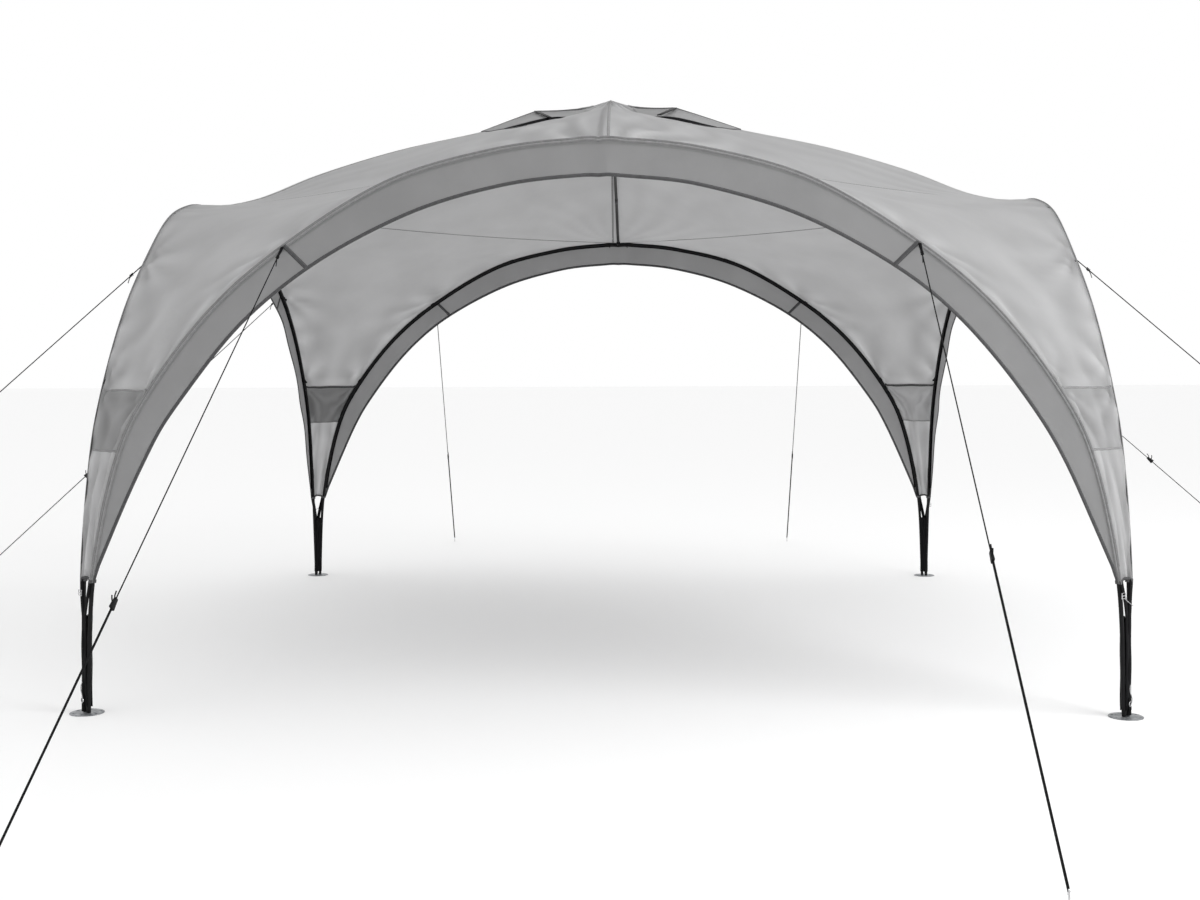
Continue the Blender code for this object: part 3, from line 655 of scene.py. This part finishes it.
HALF_ROWS = len(ROWS) - 1
PIPING = 0.0028
STRIP = 0.019
CLIP_WEB = (0.009, 0.026)
GUY_STEP = ROWS.index(GUY_ROW)
for side, side_name in enumerate(SIDES):
    def hanging(column, row):
        step, share = column - HALF_ROWS, row / DOWN
        return valance_point(side, step, share), (step * 0.045, share * valance_depth(side, step))

    def bound(column, row):
        step = column - HALF_ROWS
        deep = valance_depth(side, step)
        share = 1 + 0.002 / deep - (1 - row / 2) * min(0.5, BINDING / deep)
        return valance_point(side, step, share), (step * 0.045, row * BINDING / 2)

    def top_band(column, row):
        step = column - HALF_ROWS
        share = row * TOP_BAND / max(valance_depth(side, step), 2 * TOP_BAND)
        return valance_point(side, step, share), (step * 0.045, row * TOP_BAND)

    def clip_web(column, row):
        step = column - HALF_ROWS
        hand = 1 if step >= 0 else -1
        i = ROWS[abs(step)] if abs(step) < HALF_ROWS else HEM_STEP - 1
        p, facing = ARCH[i], facing_at(i)
        down = Vector((facing.x * math.sqrt(2), facing.z)).normalized() * (CLIP_WEB[1] * row - CLIP_WEB[0])
        spot = on_side(side, hand * (p.x - down.x), p.y + POLE_RADIUS + 0.0015, p.z - down.y)
        return spot, (step * 0.045, row * CLIP_WEB[1])

    strip = bmesh.new()
    lay_cloth(strip, 2 * HALF_ROWS, DOWN, hanging)
    hung = make_piece(f"valance_cloth_{side_name}", strip, valance_cloth,
                      [f"valance_{side_name}"], sharp=180, thickness=CLOTH_SHOWN)
    edging = bmesh.new()
    lay_cloth(edging, 2 * HALF_ROWS, 2, bound)
    for hand in (-1, 1):
        def across_strip(column, row):
            point = valance_point(side, hand * GUY_STEP, row / DOWN)
            run = valance_point(side, hand * (GUY_STEP + 1), row / DOWN) - point
            return point + run / 2 + run.normalized() * (column - 0.5) * STRIP, (row * 0.017, column * STRIP)

        lay_cloth(edging, 1, DOWN, across_strip)
    hem = make_piece(f"valance_binding_{side_name}", edging, binding, sharp=180, thickness=0.0032)
    top_edge = [valance_point(side, step, 0.0) for step in range(-HALF_ROWS, HALF_ROWS + 1)]
    seam = bars("piping", [(top_edge, PIPING)], sides=8)
    lay_cloth(seam, 2 * HALF_ROWS, 1, top_band)
    top_seam = make_piece(f"valance_seam_{side_name}", seam, seam_cloth, sharp=180, thickness=0.0022)
    web = bmesh.new()
    lay_cloth(web, 2 * HALF_ROWS, 1, clip_web)
    web_piece = make_piece(f"clip_webbing_{side_name}", web, webbing, sharp=180, thickness=0.0014)

# Edge clips: black nylon hooks are sewn under the canopy's edge and snap round the arch tubes, six to an
# arch: beside the top joints, at the guy points, and at the knees above the legs.
CLIP_PLACES = (0.80, 1.353, 1.93)

for side, side_name in enumerate(SIDES):
    runs = []
    out = on_side(side, 0, 1 - HALF_SIDE, 0)
    for hand in (-1, 1):
        path = [on_side(side, hand * p.x, p.y, p.z) for p in ARCH]
        for place in CLIP_PLACES:
            i = min(range(len(ARCH)), key=lambda k: abs(ARCH[k].x - place))
            ahead = (path[i + 1] - path[i]).normalized()
            under = ahead.cross(out) * hand
            under = under if under.z < 0 else -under
            runs.append(([path[i] + ahead * d for d in (-0.013, -0.011, 0.011, 0.013)],
                         (0.0115, 0.0132, 0.0132, 0.0115)))
            runs.append(([path[i] - out * n + under * d for n, d in ((0.008, 0.0), (0.019, 0.004), (0.020, 0.016))],
                         0.0042))
    make_piece(f"edge_clips_{side_name}", bars("clips", runs), black_nylon)

# Leg pockets: a second layer of cloth is sewn inside each leg between two seams, open at the top, and it
# hangs in loose folds from its two upper corners. Its mouth and the leg's hem are bound. The left-hand pockets
# are of the darker cloth; the right-hand ones take a paler copy of it, painted light from the lamp on that side.
POCKET_TOP, POCKET_FOOT = SEAM_ROWS[1], SEAM_ROWS[2]
POCKET_ACROSS = 36
POCKET_DOWN = 24

pocket_cloth = cloth_finish("pocket_cloth", (0.38, 0.38, 0.383, 1.0), (0.33, 0.33, 0.333, 1.0), through=0.52)
# A paler copy of the pocket cloth: painted light, for the pockets on the side the lamp is on.
lit_pocket_copy = cloth_finish("lit_pocket_copy", (0.78, 0.78, 0.783, 1.0), (0.72, 0.72, 0.723, 1.0), through=0.72)
# Painted shade in the pockets' fold hollows, painted highlight on their ridges.
shade_folds(pocket_cloth, 0.22)
shade_folds(lit_pocket_copy, 0.10)


def pocket_fold(corner, share, depth):
    """Height of the folds that fall from a pocket's upper corners to its lower seam."""
    edge = min(share, 1 - share)
    fan = math.atan2(edge, depth * 0.7 + 0.06)
    wander = noise.noise(Vector((share * 4, depth * 3, corner * 5.1)))
    return 0.009 * math.sin(fan * 12 + corner + wander * 4) * math.exp(-1.6 * edge) * min(1, depth * 5) * min(1, edge * 9)


def pocket_point(corner, share, depth):
    """A point of a pocket, which bags inwards between the seams it hangs from."""
    place = POCKET_TOP + (POCKET_FOOT - POCKET_TOP) * min(1.0, max(0.0, depth))
    low = min(int(place), POCKET_FOOT - 1)
    point = canopy_point(corner, low, share).lerp(canopy_point(corner, low + 1, share), place - low)
    bag = 0.022 * math.sin(math.pi * share) * math.sin(math.pi * (0.12 + 0.88 * depth))
    fold = pocket_fold(corner, share, depth) * math.sin(math.pi * min(1.0, max(0.0, depth)))
    inward = -corner_row(corner, low, POLE_CLEAR)[2]
    return point + inward * (0.0035 + bag * 0.6 + fold * 0.8)


def tube_at(corner, hand, z):
    """The middle of one of a leg's two tubes at a height."""
    for above, below in zip(ARCH, ARCH[1:]):
        if below.z <= z:
            p = above.lerp(below, (above.z - z) / (above.z - below.z))
            break
    return on_side(corner, p.x, p.y, z) if hand < 0 else on_side(corner + 1, -p.x, p.y, z)


for corner, corner_name in enumerate(CORNERS):
    def pocket(column, row):
        share, depth = 0.02 + 0.96 * column / POCKET_ACROSS, row / POCKET_DOWN
        return pocket_point(corner, share, depth), (share * 0.4, depth * 0.27), pocket_fold(corner, share, depth)

    def mouth(column, row):
        share = 0.02 + 0.96 * column / POCKET_ACROSS
        return pocket_point(corner, share, row * 0.022 - 0.01), (share * 0.4, row * 0.006)

    def leg_hem(column, row):
        share = column / POCKET_ACROSS
        end, above = canopy_point(corner, HEM_STEP, share), canopy_point(corner, HEM_STEP - 1, share)
        return end + (above - end).normalized() * (0.012 * (1 - row) - 0.001), (share * 0.1, row * 0.012)

    bag = bmesh.new()
    lay_cloth(bag, POCKET_ACROSS, POCKET_DOWN, pocket)
    # Right-hand legs take the paler copy: painted light from the lamp on that side.
    finish = lit_pocket_copy if "right" in corner_name else pocket_cloth
    bag_piece = make_piece(f"pocket_{corner_name}", bag, finish,
                           [f"leg_pocket_{corner_name}"], sharp=180, thickness=CLOTH_SHOWN)
    edging = bmesh.new()
    lay_cloth(edging, POCKET_ACROSS, 2, mouth)
    lay_cloth(edging, POCKET_ACROSS, 1, leg_hem)
    for share in (0.0, 1.0):
        def hem_sock(column, row):
            turn = math.tau * column / 16
            z = 0.589 - 0.014 * row / 2
            tube = tube_at(corner, -1 if share == 0.0 else 1, z)
            out = corner_outward(corner)
            round_it = out * math.cos(turn) + out.cross(Vector((0, 0, 1))) * math.sin(turn)
            return tube + round_it * (POLE_RADIUS + 0.0040), (column * 0.006, row * 0.011)

        lay_cloth(edging, 16, 2, hem_sock)
    edge_piece = make_piece(f"leg_binding_{corner_name}", edging, binding, sharp=180, thickness=0.003)

# Vents: two hoods of the roof cloth beside the crown. The bound front edge of each is held up by a flat
# batten, a pale net closes the mouth below it, and a slit in the roof lets the warm air out. The slit is a
# near-black sheet laid on the roof: painted shade in the opening.
VENT_INNER = 0.10
VENT_OUTER = 0.75
VENT_PEAK = {"left": 0.43, "right": 0.37}
VENT_BACK = 0.20
VENT_FRONT = 0.30
VENT_RISE = 0.046
VENT_ACROSS = 40
SLIT_ENDS = (0.18, 0.60)
SLIT_GAP = 0.015

net_cloth = cloth_finish("vent_net", (0.60, 0.60, 0.603, 1.0), (0.55, 0.55, 0.553, 1.0), through=0.60)
# Painted shade: the near-black sheet laid in the slit stands for the shaded opening under the hood.
slit_shade_finish = mottled("painted_slit_shade", (0.008, 0.008, 0.009, 1.0), (0.014, 0.014, 0.015, 1.0), 200.0, 0.8, bump=0.6, gloss=0.1)


def hood_edge(hand, t):
    """The place across the crown, the rise and the spread of a hood at a share of its width."""
    peak = (VENT_PEAK[hand] - VENT_INNER) / (VENT_OUTER - VENT_INNER)
    rise = VENT_RISE * min(t / peak, (1 - t) / (1 - peak)) - 0.006 * math.sin(math.pi * t / peak if t < peak else 0)
    x = (1 if hand == "right" else -1) * (VENT_INNER + (VENT_OUTER - VENT_INNER) * t)
    return x, max(0.0, rise), math.sin(math.pi * min(max(t, 0.02), 0.98))


def on_crown(x, y, painted_fold_light):
    return Vector((x, y, crown_surface(x, y) + CLOTH / 2 + painted_fold_light))


def mouth_gap(x):
    """How far the net's lower edge stands off the roof above the slit."""
    return SLIT_GAP * math.sin(math.pi * min(1.0, max(0.0, (abs(x) - SLIT_ENDS[0]) / (SLIT_ENDS[1] - SLIT_ENDS[0]))))


for hand in VENT_PEAK:
    sign = 1 if hand == "right" else -1

    def hood(column, row):
        x, rise, spread = hood_edge(hand, column / VENT_ACROSS)
        back = row / 10
        y = -0.016 + (VENT_BACK * spread + 0.016) * back
        billow = 0.006 * math.sin(math.pi * back) * spread
        return on_crown(x, y, 0.002 + rise * (1 - back) ** 1.4 + billow), (x, y)

    def hood_binding(column, row):
        x, rise, spread = hood_edge(hand, column / VENT_ACROSS)
        return on_crown(x, -0.019 + max(0, row - 1) * 0.009, 0.0035 + rise - (row == 0) * 0.008), (x, row * 0.009)

    def net(column, row):
        x, rise, spread = hood_edge(hand, column / VENT_ACROSS)
        fall = row / 6
        y = -0.014 - (VENT_FRONT * spread - 0.014) * fall
        return on_crown(x, y, 0.003 + rise * (1 - fall) + mouth_gap(x) * fall), (x, y)

    def slit(column, row):
        x = SLIT_ENDS[0] + (SLIT_ENDS[1] - SLIT_ENDS[0]) * column / VENT_ACROSS
        t = (x - VENT_INNER) / (VENT_OUTER - VENT_INNER)
        y = -VENT_FRONT * hood_edge(hand, t)[2] + 0.003 - 0.012 * row / 2
        return on_crown(sign * x, y, 0.002 + mouth_gap(x) * (1 - row / 2)), (x, y)

    def slit_hem(column, row):
        x, rise, spread = hood_edge(hand, 0.55 + 0.43 * column / VENT_ACROSS)
        return on_crown(x, -(VENT_FRONT + 0.05) * spread - row * 0.007, 0.002), (x, row * 0.007)

    top_sheet = bmesh.new()
    lay_cloth(top_sheet, VENT_ACROSS, 10, hood)
    hood_piece = make_piece(f"hood_{hand}", top_sheet, roof_cloth, [f"vent_hood_{hand}"],
                            sharp=180, thickness=CLOTH_SHOWN)
    edging = bmesh.new()
    lay_cloth(edging, VENT_ACROSS, 2, hood_binding)
    lay_cloth(edging, VENT_ACROSS, 1, slit_hem)
    edge_piece = make_piece(f"hood_binding_{hand}", edging, binding, sharp=180, thickness=0.003)
    mesh_sheet = bmesh.new()
    lay_cloth(mesh_sheet, VENT_ACROSS, 6, net)
    net_piece = make_piece(f"vent_net_{hand}", mesh_sheet, net_cloth, sharp=180, thickness=0.001)
    slot_sheet = bmesh.new()
    lay_cloth(slot_sheet, VENT_ACROSS, 2, slit)
    slit_piece = make_piece(f"vent_slit_{hand}", slot_sheet, slit_shade_finish, sharp=180, thickness=0.001)
    peak = VENT_PEAK[hand]
    head = on_crown(sign * peak, -0.022, 0.004 + VENT_RISE)
    foot = on_crown(sign * (peak - 0.095), -0.31, 0.006 + mouth_gap(peak - 0.095) * 0.6)
    batten = bmesh.new()
    bmesh.ops.create_cube(batten, size=1.0)
    bmesh.ops.scale(batten, verts=batten.verts, vec=(0.024, 0.006, (head - foot).length))
    bmesh.ops.bevel(batten, geom=batten.edges, offset=0.0012, segments=2, affect="EDGES", profile=0.5, material=-1)
    turn = (head - foot).to_track_quat("Z", "Y").to_matrix().to_4x4()
    bmesh.ops.transform(batten, matrix=Matrix.Translation((head + foot) / 2) @ turn, verts=batten.verts)
    make_piece(f"batten_{hand}", batten, black_nylon, [f"vent_strut_{hand}"])

# Leg straps: black 25 mm webbing runs from both corners of a leg's hem down along the tubes, meets above
# the middle and hooks on at the foot. A slide buckle takes it up, and on two of the legs a thin cord ties the tubes
# together.
STRAP_WIDTH = 0.025
STRAP_TOP = 0.588
STRAP_MEET = 0.43
STRAP_FOOT = 0.030
LOCK_FRAME = ((-1, -1), (1, -1), (1, 1), (-1, 1), (-1, -1))

bright_steel = mottled("bright_steel", (0.62, 0.62, 0.63, 1.0), (0.45, 0.45, 0.46, 1.0), 90.0, 0.25, metallic=1.0)


for corner, corner_name in enumerate(CORNERS):
    outward = corner_outward(corner)
    across = outward.cross(Vector((0, 0, 1)))
    straps = bmesh.new()
    for hand in (-1, 1):
        for face in (-1, 1):
            def strap(column, row):
                start = STRAP_TOP if face > 0 else STRAP_MEET
                z = start - (start - STRAP_FOOT) * row / 28
                tube, middle = tube_at(corner, hand, z), tube_at(corner, -1, z).lerp(tube_at(corner, 1, z), 0.5)
                half = (tube - middle).length
                closing = min(1.0, (STRAP_TOP - z) / (STRAP_TOP - STRAP_MEET))
                beside = (tube - middle).normalized()
                spot = middle + beside * (half + (min(half, 0.011) - half) * closing ** 1.3)
                spot += outward * face * (POLE_RADIUS + 0.004 + 0.001 * math.sin(z * 31 + hand))
                wide = STRAP_WIDTH * (1.0 if z > STRAP_MEET else 0.9 + 0.1 * z / STRAP_MEET)
                return spot + beside * (column - 0.5) * wide, (z, column * STRAP_WIDTH)

            lay_cloth(straps, 1, 28, strap)

    def between(column, row):
        z = STRAP_MEET - (STRAP_MEET - STRAP_FOOT) * row / 20
        left, right = tube_at(corner, -1, z), tube_at(corner, 1, z)
        inset = (POLE_RADIUS - 0.002) / (right - left).length
        return left.lerp(right, inset + (1 - 2 * inset) * column), (z, column * STRAP_WIDTH)

    lay_cloth(straps, 1, 20, between)

    def foot_loop(column, row):
        z = 0.085 - 0.075 * row / 6
        middle = tube_at(corner, -1, max(z, 0.01)).lerp(tube_at(corner, 1, max(z, 0.01)), 0.5)
        return middle + outward * (POLE_RADIUS + 0.010) + across * (column - 0.5) * 0.018, (z, column * 0.018)

    lay_cloth(straps, 1, 6, foot_loop)
    make_piece(f"leg_webbing_{corner_name}", straps, webbing, [f"leg_strap_{corner_name}"],
               sharp=60, thickness=0.0022)
    tube = [tube_at(corner, -1, z) for z in (0.60, 0.55, 0.50, 0.45, 0.40)]
    low = [tube_at(corner, -1, z).lerp(tube_at(corner, 1, z), 0.5) + outward * 0.022 for z in (0.14, 0.05)]
    lock = along(tube, 0.075)[0] + outward * (POLE_RADIUS + 0.0075)
    rings = [([lock + across * a * 0.0145 + Vector((0, 0, b * 0.012)) for a, b in LOCK_FRAME], 0.0019),
             ([lock - across * 0.0145, lock + across * 0.0145], 0.0019)]
    tie = [tube_at(corner, -1, 0.515) + outward * 0.018, tube_at(corner, 1, 0.475) + outward * 0.018]
    if corner % 2 == 0:
        rings.append((tie, 0.0014))
    hook = [low[0].lerp(low[1], share) + across * 0.008 * math.sin(share * math.tau)
            + outward * 0.004 * math.sin(share * math.pi) for share in [k / 14 for k in range(15)]]
    rings.append((hook, 0.0022))
    eye, ahead = low[0].lerp(low[1], 0.9), outward
    turns = [math.tau * k / 18 for k in range(19)]
    rings.append(([eye + (across * math.cos(a) + Vector((0, 0, 1)) * math.sin(a)) * 0.011 for a in turns], 0.0018))
    for share in (0.02, 0.98):
        end = pocket_point(corner, share, 0.02) - outward * 0.004
        rings.append(([end + (across * math.cos(a) + Vector((0, 0, 1)) * math.sin(a)) * 0.008 for a in turns], 0.0016))
        rings.append(([end, end - Vector((0, 0, 0.02))], 0.0016))
    make_piece(f"leg_fittings_{corner_name}", bars("fittings", rings, sides=8), bright_steel)

# Guy lines: thin dark braided cord from a webbing tab on each arch down to a steel peg. A slider part of the
# way down takes in a doubled strand, whose tail sticks out, so the line is thicker from there to the peg.
GUY_S = 1.353
GUY_REACH = 4.494
PEG_HEIGHT = 0.035
TAB_LENGTH = 0.060
TAB_WIDTH = 0.014
ROPE_RADIUS = 0.0026
GUY_ANCHORS = {
    "front": ((-1.68, 0.65), (1.36, 0.58)),
    "right": ((-1.72, 0.60), (1.04, 0.55)),
    "back": ((-1.46, 0.60), (1.52, 0.60)),
    "left": ((-1.34, 0.60), (1.60, 0.60)),
}

braid = mottled("braided_cord", (0.005, 0.005, 0.0055, 1.0), (0.016, 0.016, 0.017, 1.0), 500.0, 0.75, bump=0.8,
                bump_scale=900.0, gloss=0.08)
for side, side_name in enumerate(SIDES):
    for index, direction in enumerate((-1, 1)):
        corner_name = CORNERS[side if direction > 0 else (side - 1) % 4]
        label = f"{side_name}_at_{corner_name}"
        anchor, slider_share = GUY_ANCHORS[side_name][index]
        before = max(i for i in range(HEM_STEP) if ARCH[i].x <= GUY_S)
        rise = (GUY_S - ARCH[before].x) / (ARCH[before + 1].x - ARCH[before].x)
        spot = ARCH[before].lerp(ARCH[before + 1], rise)
        top = on_side(side, direction * GUY_S, spot.y + HUB_CLEAR + CLOTH + 0.003, spot.z)
        end = on_side(side, anchor, GUY_REACH - HALF_SIDE, PEG_HEIGHT)
        ahead = (end - top).normalized()
        beside = ahead.cross(Vector((0, 0, 1))).normalized()
        over = beside.cross(ahead)
        reach = (end - top).length
        slider = top + ahead * reach * slider_share

        def tab(column, row):
            wide = TAB_WIDTH * (1 - 0.3 * (row / 8))
            return top + ahead * (TAB_LENGTH * row / 8) + beside * (column - 0.5) * wide, (row * 0.01, column * wide)

        tab_mesh = bmesh.new()
        lay_cloth(tab_mesh, 1, 8, tab)
        make_piece(f"guy_tab_{label}", tab_mesh, webbing, sharp=60, thickness=0.003)
        knot = top + ahead * TAB_LENGTH
        runs = [([knot - ahead * 0.012, slider + ahead * 0.010], ROPE_RADIUS)]
        twist = [knot + ahead * (0.018 * k / 12) + (beside * math.cos(k * 1.3) + over * math.sin(k * 1.3)) * 0.0055
                 for k in range(13)]
        runs.append((twist, ROPE_RADIUS))
        runs.append(([knot + over * 0.004, knot - over * 0.006 + ahead * 0.03, knot - over * 0.018 + ahead * 0.05],
                     ROPE_RADIUS * 0.8))
        low_start = slider + ahead * 0.040
        for hand in (-1, 1):
            runs.append(([low_start + beside * hand * 0.0020, end + beside * hand * 0.0020], ROPE_RADIUS))
        tail = [slider + ahead * 0.030 + over * 0.006, slider + ahead * 0.020 + over * 0.022,
                slider + ahead * 0.012 + over * 0.030]
        runs.append((tail, ROPE_RADIUS))
        runs.append(([slider + ahead * 0.012, slider + ahead * 0.002 + over * 0.014, slider - ahead * 0.016
                      + over * 0.017], ROPE_RADIUS))
        rope = make_piece(f"guy_cord_{label}", bars("rope", runs, sides=8), braid, [f"guy_line_{label}"])
        runner = bmesh.new()
        bmesh.ops.create_cube(runner, size=1.0)
        bmesh.ops.scale(runner, verts=runner.verts, vec=(0.026, 0.011, 0.044))
        for vert in runner.verts:
            if vert.co.z > 0:
                vert.co.x *= 0.55
        bmesh.ops.bevel(runner, geom=runner.edges, offset=0.002, segments=2, affect="EDGES", profile=0.5, material=-1)
        frame_turn = Matrix((over, beside, ahead)).transposed().to_4x4()
        frame_turn = Matrix.Translation(slider + ahead * 0.024) @ frame_turn @ Matrix.Rotation(math.pi, 4, "X")
        bmesh.ops.transform(runner, matrix=frame_turn, verts=runner.verts)
        make_piece(f"guy_slider_{label}", runner, black_nylon)
        out = Vector((ahead.x, ahead.y, 0)).normalized()
        stake = [end - out * 0.006 - Vector((0, 0, 0.010)), end - out * 0.004 + Vector((0, 0, 0.004)),
                 end + Vector((0, 0, 0.006)), end + out * 0.003 + Vector((0, 0, 0.002)),
                 end + out * 0.003 - Vector((0, 0, PEG_HEIGHT - 0.001))]
        make_piece(f"guy_peg_{label}", bars("peg", [(stake, 0.003)], sides=12), bright_steel)
